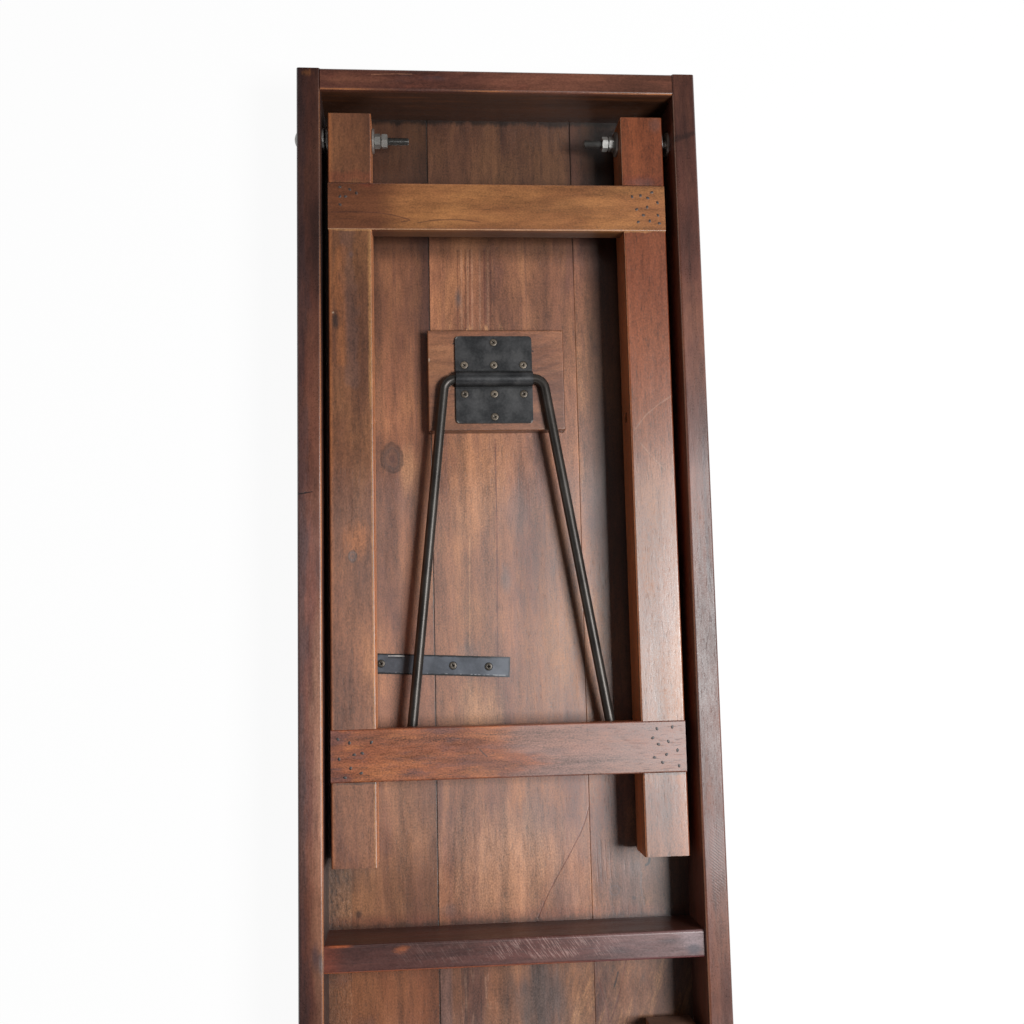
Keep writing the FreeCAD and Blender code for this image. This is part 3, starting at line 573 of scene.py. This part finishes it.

# Cross-rails: flat bars of the same orange wood, let flush into the rails and nailed.
# The upper one is golden with dark lines, and the lower one has flame figure and painted sheen towards one
# end.
upper_colours = (swatch(130, 82, 48), swatch(90, 50, 31), swatch(154, 104, 60))
lower_colours = (swatch(138, 74, 40), swatch(98, 52, 36), swatch(168, 100, 54))
cross_purple = swatch(100, 58, 50)
for number, name in enumerate(("a_upper", "a_lower", "b_upper", "b_lower")):
    upper = name.endswith("upper")
    colours = upper_colours if upper else lower_colours
    rail = Timber("cross_rail_" + name, "x", colours, 47.0 + 2.9 * number,
                  fine=0.8 if upper else 1.2, streaks=0.9, gloss=0.42, shine=0.7)
    if name[0] == "b":
        rail.turn_round()
    top = rail.z.step(73, 74.6)
    if upper:
        rail.lay(rail.x.step(-84, -128) * 0.9, upper_colours[1])
        long_line = [(-167, 711), (-150, 711.3), (-135, 711.2), (-120, 710.4), (-110, 709),
                     (-100, 706.6), (-92, 704.4), (-90, 703.2), (-93, 702.3), (-98, 701.4)]
        bowed_line = [(-82, 700.6), (-72, 702.4), (-63, 703.6), (-50, 704.2),
                      (-38, 704), (-28, 703), (-20, 701.6)]
        short_line = [(-166, 703.4), (-156, 704.2), (-146, 704)]
        for line in (long_line, bowed_line, short_line):
            rail.lay(rail.stroke(line, 0.9) * 0.6, swatch(70, 40, 30))
        rail.lay(rail.spot(-132, 740, 9, 4) * 0.6, leg_red)
        # Painted shade: the face towards the middle of the table darkens below the top.
        rail.darken(rail.z.step(73, 66) * rail.y.step(698, 694), 0.6)
    else:
        flame = rail.noise(60, 16, 4, 0.65)
        rail.lay(rail.x.step(90, 0) * flame.step(0.50, 0.62) * 0.8, cross_purple)
        rail.lay(rail.x.step(40, -40) * flame.step(0.46, 0.36) * 0.4, leg_orange)
        # Painted sheen: a pinkish grey over the top towards one end.
        painted_sheen = rail.x + rail.y.within(166, 180, 8) * -46 + rail.ragged * 90
        rail.lay(painted_sheen.step(-30, 20) * top * 0.7, swatch(112, 89, 84))
        rail.lay(rail.stroke([(-31, 185), (-27.5, 181), (-24, 178)], 0.8) * 0.7, leg_ink)
    arris = rail.arris()
    rail.lay(arris * 0.55, leg_red)
    if upper:
        # Painted highlight: a pale line along the arris towards the middle of the table.
        rail.lay(arris * rail.y.step(699, 695) * 0.6, swatch(196, 158, 122))
        rail.rub(top, 0.30)
    paint(rail.close(), "cross_rail_" + name)

# Stay blocks: short pieces of board with eased edges, glued and screwed down under the straps.
# The grain lies across the table and slants towards the right.
block_colours = (swatch(127, 81, 55), swatch(92, 56, 43), swatch(152, 102, 68))
for number, half in enumerate(("a", "b")):
    block = Timber("block_" + half, "x", block_colours, 61.0 + 2.9 * number, fine=0.8, streaks=0.6)
    if half == "b":
        block.turn_round()
    drift = (block.noise(30, 12, 3) - 0.5) * 12
    slant = ((block.y - block.x * 0.30) * 0.55 + drift).sine() * 0.5 + 0.5
    broken = slant.step(0.6, 1.0) * block.ragged.step(-0.1, 0.1)
    block.lay(block.x.step(10, 40) * broken * 0.5, block_colours[1])
    # Painted shade: the sides darken below the top.
    block.darken(block.z.step(34.5, 31), 0.45)
    block.darken(block.arris(), 0.3)
    block.rub(block.ends, 0.30)
    block.lay(block.spot(-72.5, 571, 1.0, 2.4, 0.5) * 0.5, leg_pale)
    for x, y in ((-47.4, 588), (33.4, 580)):
        block.lay(block.spot(x, y, 1.4, 1.4, 0.5), leg_ink)
    paint(block.close(), "stay_block_" + half)


# Nails: plain cut steel nails, driven through the aprons and the laps and gone grey with the stain.
# Their heads are uneven, and stand a hair proud of the wood.
class Metal(Finish):
    """A worked metal, with soft clouds between a dark and a light colour, and fine grit."""

    def __init__(self, name, dark, light, rough, metallic, cloud=24, pit=0.06):
        super().__init__(name)
        cloud = self.noise(cloud, cloud, 4, 0.55)
        grit = self.noise(420, 420, 3, 0.6)
        self.colour = (cloud.step(0.36, 0.70) * 0.8 + grit.step(0.4, 0.75) * 0.3).blend(dark, light)
        self.height = grit * pit
        self.rough = rough + (cloud - 0.5) * 0.16 + (grit - 0.5) * 0.12
        self.surface.inputs["Metallic"].default_value = metallic


def choose(*pieces):
    """Select these pieces alone, with the first of them active."""
    bpy.ops.object.select_all(action="DESELECT")
    for piece in pieces:
        piece.select_set(True)
    if pieces:
        bpy.context.view_layer.objects.active = pieces[0]


def turned(name, rings, sides=32):
    """Turn a solid round the upright axis, ring by ring, from heights and radii in millimetres."""
    choose()
    height, radius = rings[0]
    bpy.ops.mesh.primitive_circle_add(vertices=sides, radius=radius / 1000, fill_type="NGON",
                                      location=(0, 0, height / 1000))
    piece = bpy.context.object
    piece.name = name
    bpy.ops.object.mode_set(mode="EDIT")
    bpy.ops.mesh.select_all(action="SELECT")
    for next_height, next_radius in rings[1:]:
        bpy.ops.mesh.extrude_region_move(
            TRANSFORM_OT_translate={"value": (0, 0, (next_height - height) / 1000)})
        scale = next_radius / radius
        bpy.ops.transform.resize(value=(scale, scale, 1), center_override=(0, 0, next_height / 1000))
        height, radius = next_height, next_radius
    bpy.ops.mesh.select_all(action="SELECT")
    bpy.ops.mesh.normals_make_consistent(inside=False)
    bpy.ops.object.mode_set(mode="OBJECT")
    bpy.ops.object.transform_apply()
    return piece


def smooth(piece, angle=35):
    """Shade a piece smooth, but for its sharp edges."""
    choose(piece)
    bpy.ops.object.shade_smooth_by_angle(angle=math.radians(angle))


def join(pieces, name):
    """Join pieces into the first of them."""
    choose(*pieces)
    if len(pieces) > 1:
        bpy.ops.object.join()
    pieces[0].name = name
    return pieces[0]


def set_out(pattern, name, places):
    """Copy a piece to places given as matrices, as one piece."""
    copies = []
    for place in places:
        copy = bpy.data.objects.new(name, pattern.data.copy())
        bpy.context.scene.collection.objects.link(copy)
        copy.data.transform(place)
        copies.append(copy)
    return join(copies, name)


def stand_in(piece, node, material):
    """Let a piece stand for a CAD node, on the node's own body."""
    piece.data.materials.clear()
    piece.data.materials.append(material)
    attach(piece, nodes[node]["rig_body"])
    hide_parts(node)


def heads(node, way):
    """Find the middles of a CAD node's nail heads that face one way."""
    groups = []
    for face in nodes[node].data.polygons:
        if face.normal.dot(way) > 0.9:
            near = [group for group in groups if (group[0] - face.center).length < 0.003]
            if near:
                near[0].append(face.center.copy())
            else:
                groups.append([face.center.copy()])
    return [sum(group, Vector()) / len(group) for group in groups]


nail_steel = Metal("nail_steel", swatch(30, 26, 26), swatch(78, 71, 71), 0.5, 0.0, cloud=520)
nail_steel.lay(abs(nail_steel.y).step(600, 690) * 0.3, swatch(70, 46, 36))
nail_finish = nail_steel.close()
nail_turn = 2.4
apron_face = 200
nail_rings = [(-37, 0.5), (-1.2, 1.1), (-0.5, 1.5), (0.02, 1.55), (0.16, 1.2)]
nail = turned("nail", nail_rings, 7)
nail.data.transform(Matrix.Diagonal((1.2, 0.9, 1, 1)))
for half in ("a", "b"):
    places = [Matrix.Translation(middle) @ Matrix.Rotation(nail_turn * number, 4, "Z")
              for number, middle in enumerate(heads("lap_nails_" + half, Vector((0, 0, 1))))]
    piece = set_out(nail, "cut_nails_" + half, places)
    smooth(piece)
    stand_in(piece, "lap_nails_" + half, nail_finish)
places = []
for way in (Vector((-1, 0, 0)), Vector((1, 0, 0))):
    aim = way.to_track_quat("Z", "Y").to_matrix().to_4x4()
    places += [Matrix.Translation(middle) @ aim @ Matrix.Rotation(nail_turn * number, 4, "Z")
               for number, middle in enumerate(heads("frame_nails", way))
               if abs(middle.x) > (apron_face - 1) / 1000]
piece = set_out(nail, "frame_cut_nails", places)
smooth(piece)
stand_in(piece, "frame_nails", nail_finish)
bpy.data.meshes.remove(nail.data)


# Pivot bolts: zinc-plated carriage bolts through the aprons, with domed heads outside and threaded ends.
# The threads are rolled, so their crests are as wide as the shank.
def work(piece, kind, **settings):
    """Put a modifier on a piece and apply it."""
    choose(piece)
    modifier = piece.modifiers.new(kind, kind)
    for name, value in settings.items():
        setattr(modifier, name, value)
    bpy.ops.object.modifier_apply(modifier=modifier.name)


def upright(x, y, z, turn=0.0):
    """Give the place of a piece that stands upright, in millimetres and degrees."""
    return Matrix.Translation((x / 1000, y / 1000, z / 1000)) @ Matrix.Rotation(math.radians(turn), 4, "Z")


dome_radius = 12.5
dome_height = 5
bolt_rings = [(dome_radius - dome_height - math.sqrt(dome_radius ** 2 - radius ** 2), radius)
              for radius in (0.8, 2.5, 4.5, 6.3, 7.8, 9.0, 9.7)]
bolt_rings += [(-0.25, 10.0), (0.0, 9.9), (0.0, 4.25), (4.4, 4.25), (4.6, 4.0),
               (71.0, 4.0), (71.8, 3.36), (109.0, 3.36), (110.0, 2.7)]
bolt = turned("bolt", bolt_rings)
pitch = 1.25
turns = 30
steps = 18
choose()
bpy.ops.mesh.primitive_circle_add(vertices=3, radius=pitch / 1000 / math.sqrt(3))
thread = bpy.context.object
flattened = Matrix.Scale(0.60, 4, (1, 0, 0))
upended = Matrix.Rotation(math.radians(90), 4, "X") @ Matrix.Rotation(math.radians(-90), 4, "Z")
thread.data.transform(Matrix.Translation((0.00351, 0, 0.0716)) @ flattened @ upended)
work(thread, "SCREW", axis="Z", angle=2 * math.pi, screw_offset=pitch / 1000,
     iterations=turns, steps=steps, render_steps=steps,
     use_merge_vertices=True, merge_threshold=0.00001, use_normal_calculate=True)
bpy.ops.object.mode_set(mode="EDIT")
bpy.ops.mesh.select_mode(type="EDGE")
bpy.ops.mesh.select_all(action="DESELECT")
bpy.ops.mesh.select_non_manifold()
bpy.ops.mesh.fill_holes(sides=4)
bpy.ops.mesh.select_all(action="SELECT")
bpy.ops.mesh.normals_make_consistent(inside=False)
bpy.ops.object.mode_set(mode="OBJECT")
bolt = join([bolt, thread], "bolt")
zinc_colours = (swatch(136, 134, 130), swatch(184, 182, 178))
bolt_zinc = Metal("bolt_zinc", *zinc_colours, 0.34, 0.55)
bolt_zinc.darken(abs(bolt_zinc.x).step(150, 120), 0.75)
bolt_finish = bolt_zinc.close()
pivot_along = 794.5
pivot_height = 52.5
pivots = {}
for half, end in (("a", 1), ("b", -1)):
    for side, out in (("left", -1), ("right", 1)):
        inward = Matrix.Rotation(math.radians(-90 * out), 4, "Y")
        pivots[half + "_" + side] = upright(out * apron_face, end * pivot_along, pivot_height) @ inward
for name, pivot in pivots.items():
    piece = set_out(bolt, "carriage_bolt_" + name, [pivot])
    smooth(piece)
    stand_in(piece, "pivot_bolt_" + name, bolt_finish)
bpy.data.meshes.remove(bolt.data)


# Lock nuts: two plain zinc-plated hexagon nuts on every bolt, chamfered on both faces.
# They are tightened against each other, so that the rail can turn beside them.
def carve(piece, tool, operation="DIFFERENCE"):
    """Cut a piece with another one, which is used up."""
    work(piece, "BOOLEAN", operation=operation, object=tool, solver="EXACT")
    bpy.data.meshes.remove(tool.data)


nut_width = 0.013
nut_height = 0.0065
nut_spacing = 7
choose()
bpy.ops.mesh.primitive_cylinder_add(vertices=6, radius=nut_width / math.sqrt(3), depth=nut_height,
                                    location=(0, 0, nut_height / 2))
nut = bpy.context.object
bpy.ops.object.transform_apply()
carve(nut, turned("chamfer", [(0, 6.1), (0.85, 7.6), (5.65, 7.6), (6.5, 6.1)], 48), "INTERSECT")
carve(nut, turned("bore", [(-1, 5.6), (0.6, 4.02), (5.9, 4.02), (7.5, 5.6)], 32))
work(nut, "BEVEL", width=0.00012, segments=2, limit_method="ANGLE", angle_limit=math.radians(40))
zinc = Metal("zinc_plate", *zinc_colours, 0.34, 0.55).close()
nut_starts = {"a_left": 75, "a_right": 78, "b_left": 78, "b_right": 75}
nut_turns = {"a_left": (18, 41), "a_right": (-22, -21), "b_left": (22, 3), "b_right": (12, 37)}
for name, pivot in pivots.items():
    places = [pivot @ upright(0, 0, nut_starts[name] + nut_spacing * number, turn)
              for number, turn in enumerate(nut_turns[name])]
    piece = set_out(nut, "hexagon_nuts_" + name, places)
    smooth(piece)
    stand_in(piece, "lock_nuts_" + name, zinc)
bpy.data.meshes.remove(nut.data)

# Washers: flat zinc-plated rings, one on the apron and one on each side of the rail.
# They keep the wood from rubbing as the leg frame turns.
paint(zinc, *["pivot_washers_" + name for name in pivots])

# Strap plates: charcoal mild-steel plates, pressed to a half-round hump that holds the stay's bar.
# Handling has left pale scuffs on the flats and bright corners.
strap_scuff = swatch(108, 107, 106)
strap_x = -7
stay_axis = 550.1
strap_screw_spots = [(0, 38.5), (-30, 15), (0, 15), (30, 15),
                     (-30, -15), (0, -15), (30, -15), (0, -38.5)]
scuffs = ((-7.5, 573, 14, 7), (18.5, 575, 9, 8), (-15, 535, 16, 9), (14, 538, 12, 8))
for half in ("a", "b"):
    strap = Metal("strap_steel_" + half, swatch(34, 35, 37), swatch(64, 64, 65), 0.40, 0.4, cloud=60)
    if half == "b":
        strap.turn_round()
    for x, y, width, length in scuffs:
        strap.lay(strap.spot(x, y, width, length, 3.5) * 0.2, strap_scuff)
    for x, y in ((-45, 594), (-45, 506), (31.5, 506)):
        strap.lay(strap.spot(x, y, 1.8, 1.8) * 0.6, swatch(150, 148, 144))
    # Painted shade: dark bands along the feet of the hump.
    strap.darken(abs(strap.y - stay_axis).within(7.4, 9.4, 0.8), 0.55)
    # Painted shade: dark rings round the screw seats.
    for x, y in strap_screw_spots:
        strap.darken(strap.spot(strap_x + x, stay_axis + y, 4.6, 4.6, 0.4), 0.8)
    paint(strap.close(), "strap_plate_" + half)

# Strap screws: flat-headed steel wood screws with cross recesses, eight to a plate.
# They are driven flush through the plate and the block, each stopped at its own turn.
screw_rings = [(-30, 0.4), (-26, 1.9), (-2.0, 2.0), (-0.45, 3.9), (-0.12, 3.7), (0, 3.5)]
screw_pattern = turned("screw", screw_rings, 36)
blade_depth = 0.0036
for turn in (0, 90):
    choose()
    bpy.ops.mesh.primitive_cube_add(size=1, location=(0, 0, 0))
    blade = bpy.context.object
    blade.data.transform(Matrix.Rotation(math.radians(turn), 4, "Z")
                         @ Matrix.Diagonal((0.0050, 0.0013, blade_depth, 1)))
    bpy.ops.object.mode_set(mode="EDIT")
    bpy.ops.mesh.select_all(action="DESELECT")
    bpy.ops.object.mode_set(mode="OBJECT")
    for vertex in blade.data.vertices:
        vertex.select = vertex.co.z < 0
    bpy.ops.object.mode_set(mode="EDIT")
    bpy.ops.transform.resize(value=(0.35, 0.35, 1), center_override=(0, 0, -blade_depth / 2))
    bpy.ops.object.mode_set(mode="OBJECT")
    carve(screw_pattern, blade)
work(screw_pattern, "BEVEL", width=0.00010, segments=2, limit_method="ANGLE", angle_limit=math.radians(40))
strap_screw_turns = (35, 48, 40, 8, 20, 42, 30, 15)
screw_steel = Metal("screw_steel", swatch(74, 66, 57), swatch(116, 105, 91), 0.48, 0.35, cloud=90)
strap_top = 38.5
# Painted shade: the cross recesses and the rims below the head's top are darkened.
screw_steel.darken(screw_steel.z.step(strap_top - 0.05, strap_top - 0.25), 0.9)
strap_screw_finish = screw_steel.close()
for half, turn in (("a", 0), ("b", 180)):
    seat = upright(0, 0, 0, turn) @ upright(strap_x, stay_axis, strap_top)
    places = [seat @ upright(x, y, 0, way) for (x, y), way in zip(strap_screw_spots, strap_screw_turns)]
    piece = set_out(screw_pattern, "cross_head_screws_" + half, places)
    smooth(piece)
    stand_in(piece, "strap_screws_" + half, strap_screw_finish)

# Stays: mild-steel rods bent to a splayed U, oiled dark.
# The bar turns under its strap, and the turned-out ends spring into the rails of an open leg frame.
stay_steel = Metal("stay_steel", swatch(43, 39, 36), swatch(64, 60, 56), 0.38, 0.6, pit=0.01)
paint(stay_steel.close(), "stay_rod_a", "stay_rod_b")

# Mending strips: sheared flat bar across a joint of the boards, blue-grey, screwed down a little askew.
# The shear has left black, nicked edges and a burr; the black along the edges is partly painted contact
# shadow, and the burr is drawn in painted highlight and shadow.
skew = math.radians(-2.9)
strip_y = 264
strip_top = 22.5
strip_reach = (75, 10)
strip_seams = {"a": seam_left, "b": -seam_right}
for half, seam in strip_seams.items():
    strip = Metal("strip_steel_" + half, swatch(60, 64, 71), swatch(86, 90, 98), 0.5, 0.35, cloud=40)
    if half == "b":
        strip.turn_round()
    off_x, off_y = strip.x - seam, strip.y - strip_y
    along = off_x * math.cos(skew) + off_y * math.sin(skew)
    across = off_y * math.cos(skew) - off_x * math.sin(skew)
    rim = (abs(along) - strip_reach[0]).larger(abs(across) - strip_reach[1]) + strip.ragged * 3
    nick = strip.noise(160, 160, 2).step(0.57, 0.66)
    strip.lay(across.within(-8.9, -7.9, 0.4) * nick * 0.7, swatch(176, 178, 180))
    # The black rim is partly the sheared edge and partly painted contact shadow.
    strip.lay(rim.step(-2.1, -0.9) * 0.95, swatch(14, 14, 16))
    strip.lay(along.step(40, 72) * 0.3, swatch(120, 124, 130))
    # Painted highlight along the burr's lip, with a painted shadow just under it.
    burr_highlight = [(seam - 46, 274.2), (seam - 38, 274), (seam - 30, 273.6)]
    strip.lay(strip.stroke(burr_highlight, 0.7) * 0.8, swatch(190, 188, 184))
    strip.lay(strip.stroke([(seam - 46, 272.4), (seam - 33, 272)], 0.8) * 0.9, swatch(20, 20, 22))
    paint(strip.close(), "mending_strip_" + half)
strip_screw_steel = Metal("strip_screw_steel", swatch(64, 59, 53), swatch(92, 85, 77), 0.45, 0.6, cloud=90)
# Painted shade: the cross recesses and the rims below the head's top are darkened.
strip_screw_steel.darken(strip_screw_steel.z.step(strip_top - 0.05, strip_top - 0.25), 0.9)
strip_screw_finish = strip_screw_steel.close()
short_screw = set_out(screw_pattern, "short_screw", [Matrix.Identity(4)])
for vertex in short_screw.data.vertices:
    if vertex.co.z < -0.010:
        vertex.co.z += 0.014
strip_screw_spots = ((-53.5, 30), (-17.83, 12), (17.83, 20), (53.5, 5))
for half, turn in (("a", 0), ("b", 180)):
    seat = upright(0, 0, 0, turn) @ upright(strip_seams[half], strip_y, strip_top, math.degrees(skew))
    places = [seat @ upright(along, 0, 0, way) for along, way in strip_screw_spots]
    piece = set_out(short_screw, "strip_cross_head_screws_" + half, places)
    smooth(piece)
    stand_in(piece, "strip_screws_" + half, strip_screw_finish)
bpy.data.meshes.remove(short_screw.data)
bpy.data.meshes.remove(screw_pattern.data)

# Studio: the table lies on its top on a white floor, under one soft lamp on its right.
# A white backdrop stands far off all round, and shows only to the eye and in reflections.
choose()
bpy.ops.mesh.primitive_plane_add(size=40, location=(0, 0, -0.0005))
floor = bpy.context.object
floor.name = "floor"
white = bpy.data.materials.new("floor_white")
white.use_nodes = True
white_surface = white.node_tree.nodes["Principled BSDF"]
white_surface.inputs["Base Color"].default_value = (0.9, 0.9, 0.9, 1)
white_surface.inputs["Roughness"].default_value = 0.9
seen = Wire(white_surface.inputs["Base Color"]).node("ShaderNodeLightPath", output="Is Camera Ray")
mirrored = Wire(seen.socket.node.outputs["Is Glossy Ray"])
through = Wire(seen.socket.node.outputs["Is Transmission Ray"])
glow = seen.node("ShaderNodeEmission", None, {"Color": (1, 1, 1, 1), "Strength": 1.0})
mixed = seen.node("ShaderNodeMixShader", None, {0: seen.larger(mirrored).larger(through) * 0.95,
                                                1: Wire(white_surface.outputs["BSDF"]), 2: glow})
white.node_tree.links.new(mixed.socket, white.node_tree.nodes["Material Output"].inputs["Surface"])
floor.data.materials.append(white)
bpy.ops.mesh.primitive_cylinder_add(vertices=64, radius=19, depth=24, end_fill_type="NOTHING")
backdrop = bpy.context.object
backdrop.name = "backdrop"
backdrop.visible_diffuse = False
backdrop.visible_shadow = False
bpy.ops.object.shade_smooth()
backdrop.data.materials.append(white)

world = bpy.data.worlds.new("studio")
bpy.context.scene.world = world
world.use_nodes = True
world.node_tree.nodes["Background"].inputs["Color"].default_value = (1, 1, 1, 1)
world.node_tree.nodes["Background"].inputs["Strength"].default_value = 0.10

lamp_place = Vector((0.92, 0.24, 1.65))
lamp = bpy.data.lights.new("softbox", "AREA")
lamp.shape = "RECTANGLE"
lamp.size = 0.68
lamp.size_y = 0.6
lamp.energy = 45
softbox = bpy.data.objects.new("softbox", lamp)
bpy.context.scene.collection.objects.link(softbox)
softbox.location = lamp_place
softbox.rotation_euler = (Vector((0.05, 0.25, 0.0)) - lamp_place).to_track_quat("-Z", "Y").to_euler()

# Camera: above the folded half, a little left of the middle, looking almost straight down.
# Its lens and place are fitted to the straight edges of the table.
camera_data = bpy.data.cameras.new("camera")
camera = bpy.data.objects.new("camera", camera_data)
bpy.context.scene.collection.objects.link(camera)
camera_data.sensor_width = 36
camera_data.lens = 41.02
roll = Matrix.Rotation(0.01335, 3, "Z")
pan = Matrix.Rotation(0.08428, 3, "Y")
tilt = Matrix.Rotation(-0.11416, 3, "X")
aim = (roll @ pan @ tilt).transposed().to_4x4()
camera.matrix_world = Matrix.Translation((-0.09032, 0.28181, 1.19623)) @ aim
bpy.context.scene.camera = camera
bpy.context.scene.view_settings.view_transform = "Standard"
